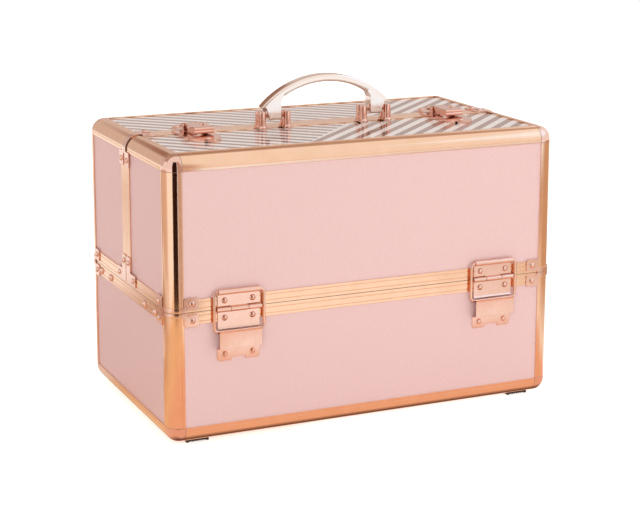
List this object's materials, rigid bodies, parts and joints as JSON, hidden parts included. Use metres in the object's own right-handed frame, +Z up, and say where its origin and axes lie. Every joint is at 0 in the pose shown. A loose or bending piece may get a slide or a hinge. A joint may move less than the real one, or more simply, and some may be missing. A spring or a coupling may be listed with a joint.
{
  "type": "makeup case",
  "caption": "Hard makeup case whose top halves swing apart on stay hinges and raise cantilever trays, with bail latches and a folding carry handle on the top",
  "frame": {"origin": "on the floor under the middle of the closed case", "axes": "+X to the case's right along its front, -Y out of the front, +Z up"},
  "size_m": [0.3702, 0.2314, 0.293],
  "materials": {
    "board": "pink laminated board with a fine shimmer grain",
    "striped_board": "laminated board faced with white and rose mirror stripes",
    "frame": "rose gold anodised aluminium extrusion",
    "plated_steel": "polished rose gold plated steel",
    "handle": "pale rose gold plated zinc casting",
    "steel": "bright zinc plated steel strip",
    "rubber": "black moulded rubber",
    "lining": "thin pink foam lining with a felted face",
    "tray": "moulded pale pink ABS"
  },
  "bodies": {
    "base": {"base_bottom_panel": "board", "base_front_panel": "board", "base_rear_panel": "board", "base_left_panel": "board", "base_right_panel": "board", "base_corner_posts": "frame", "base_bottom_edges": "frame", "base_rim_rails": "frame", "base_corner_caps": "plated_steel", "base_corner_clips": "plated_steel", "base_feet": "rubber", "base_lining": "lining", "tray_brackets": "steel", "hinge_lower_leaves": "plated_steel", "hinge_pins": "plated_steel", "stay_plates": "plated_steel", "base_rivets": "plated_steel"},
    "front_lid": {"front_lid_panel": "board", "front_lid_top_panel": "striped_board", "front_lid_left_panel": "board", "front_lid_right_panel": "board", "front_lid_edges": "frame", "front_lid_rails": "frame", "front_lid_caps": "plated_steel", "front_lid_clips": "plated_steel", "front_lid_rivets": "plated_steel", "front_hinge_leaves": "plated_steel", "front_lid_lining": "lining", "handle_posts": "plated_steel", "handle_pins": "plated_steel", "latch_bases": "plated_steel"},
    "rear_lid": {"rear_lid_panel": "board", "rear_lid_top_panel": "striped_board", "rear_lid_left_panel": "board", "rear_lid_right_panel": "board", "rear_lid_edges": "frame", "rear_lid_rails": "frame", "rear_lid_caps": "plated_steel", "rear_lid_clips": "plated_steel", "rear_lid_rivets": "plated_steel", "rear_hinge_leaves": "plated_steel", "rear_lid_lining": "lining", "latch_catches": "plated_steel"},
    "front_stay_rings": {"front_stay_rings": "plated_steel"},
    "rear_stay_rings": {"rear_stay_rings": "plated_steel"},
    "handle": {"handle": "handle"},
    "left_latch_lever": {"left_latch_lever": "plated_steel"},
    "right_latch_lever": {"right_latch_lever": "plated_steel"},
    "left_latch_bail": {"left_latch_bail": "plated_steel"},
    "right_latch_bail": {"right_latch_bail": "plated_steel"},
    "front_outer_arms": {"front_outer_arms": "steel"},
    "front_inner_arms": {"front_inner_arms": "steel"},
    "front_lower_tray": {"front_lower_tray": "tray"},
    "front_upper_tray": {"front_upper_tray": "tray"},
    "rear_outer_arms": {"rear_outer_arms": "steel"},
    "rear_inner_arms": {"rear_inner_arms": "steel"},
    "rear_lower_tray": {"rear_lower_tray": "tray"},
    "rear_upper_tray": {"rear_upper_tray": "tray"}
  },
  "joints": [
    {"name": "front_lid_swing", "type": "hinge", "parent": "base", "child": "front_lid", "pos_m": [0, -0.1104, 0.1155], "axis": [1, 0, 0], "range_deg": [0, 90]},
    {"name": "front_stay_swing", "type": "hinge", "parent": "front_lid", "child": "front_stay_rings", "pos_m": [0, -0.11038, 0.1305], "axis": [1, 0, 0], "range_deg": [-60.4, 0]},
    {"name": "front_outer_arm_swing", "type": "hinge", "parent": "base", "child": "front_outer_arms", "pos_m": [0, -0.09, 0.11], "axis": [1, 0, 0], "range_deg": [0, 80]},
    {"name": "front_inner_arm_swing", "type": "hinge", "parent": "base", "child": "front_inner_arms", "pos_m": [0, -0.073, 0.11], "axis": [1, 0, 0], "range_deg": [0, 80]},
    {"name": "front_lower_tray_level", "type": "hinge", "parent": "front_outer_arms", "child": "front_lower_tray", "pos_m": [0, -0.06454, 0.13546], "axis": [1, 0, 0], "range_deg": [-80, 0]},
    {"name": "front_upper_tray_level", "type": "hinge", "parent": "front_outer_arms", "child": "front_upper_tray", "pos_m": [0, -0.02636, 0.17364], "axis": [1, 0, 0], "range_deg": [-80, 0]},
    {"name": "rear_lid_swing", "type": "hinge", "parent": "base", "child": "rear_lid", "pos_m": [0, 0.1104, 0.1155], "axis": [-1, 0, 0], "range_deg": [0, 90]},
    {"name": "rear_stay_swing", "type": "hinge", "parent": "rear_lid", "child": "rear_stay_rings", "pos_m": [0, 0.11038, 0.1305], "axis": [-1, 0, 0], "range_deg": [-60.4, 0]},
    {"name": "rear_outer_arm_swing", "type": "hinge", "parent": "base", "child": "rear_outer_arms", "pos_m": [0, 0.09, 0.11], "axis": [-1, 0, 0], "range_deg": [0, 80]},
    {"name": "rear_inner_arm_swing", "type": "hinge", "parent": "base", "child": "rear_inner_arms", "pos_m": [0, 0.073, 0.11], "axis": [-1, 0, 0], "range_deg": [0, 80]},
    {"name": "rear_lower_tray_level", "type": "hinge", "parent": "rear_outer_arms", "child": "rear_lower_tray", "pos_m": [0, 0.06454, 0.13546], "axis": [-1, 0, 0], "range_deg": [-80, 0]},
    {"name": "rear_upper_tray_level", "type": "hinge", "parent": "rear_outer_arms", "child": "rear_upper_tray", "pos_m": [0, 0.02636, 0.17364], "axis": [-1, 0, 0], "range_deg": [-80, 0]},
    {"name": "handle_fold", "type": "hinge", "parent": "front_lid", "child": "handle", "pos_m": [0, -0.012, 0.258], "axis": [1, 0, 0], "range_deg": [0, 88]},
    {"name": "left_latch_lift", "type": "hinge", "parent": "front_lid", "child": "left_latch_lever", "pos_m": [-0.1215, -0.006, 0.2525], "axis": [-1, 0, 0], "range_deg": [0, 85]},
    {"name": "left_bail_swing", "type": "hinge", "parent": "left_latch_lever", "child": "left_latch_bail", "pos_m": [-0.1215, -0.014, 0.2519], "axis": [-1, 0, 0], "range_deg": [-32.4, 0]},
    {"name": "right_latch_lift", "type": "hinge", "parent": "front_lid", "child": "right_latch_lever", "pos_m": [0.1215, -0.006, 0.2525], "axis": [-1, 0, 0], "range_deg": [0, 85]},
    {"name": "right_bail_swing", "type": "hinge", "parent": "right_latch_lever", "child": "right_latch_bail", "pos_m": [0.1215, -0.014, 0.2519], "axis": [-1, 0, 0], "range_deg": [-32.4, 0]}
  ],
  "couplings": [
    {"joint": "front_stay_swing", "follows": "front_lid_swing", "ratio": -0.671},
    {"joint": "front_outer_arm_swing", "follows": "front_lid_swing", "ratio": 0.8888},
    {"joint": "front_inner_arm_swing", "follows": "front_lid_swing", "ratio": 0.8888},
    {"joint": "front_lower_tray_level", "follows": "front_lid_swing", "ratio": -0.8888},
    {"joint": "front_upper_tray_level", "follows": "front_lid_swing", "ratio": -0.8888},
    {"joint": "rear_stay_swing", "follows": "rear_lid_swing", "ratio": -0.671},
    {"joint": "rear_outer_arm_swing", "follows": "rear_lid_swing", "ratio": 0.8888},
    {"joint": "rear_inner_arm_swing", "follows": "rear_lid_swing", "ratio": 0.8888},
    {"joint": "rear_lower_tray_level", "follows": "rear_lid_swing", "ratio": -0.8888},
    {"joint": "rear_upper_tray_level", "follows": "rear_lid_swing", "ratio": -0.8888},
    {"joint": "left_bail_swing", "follows": "left_latch_lift", "ratio": -0.38},
    {"joint": "right_bail_swing", "follows": "right_latch_lift", "ratio": -0.38}
  ]
}
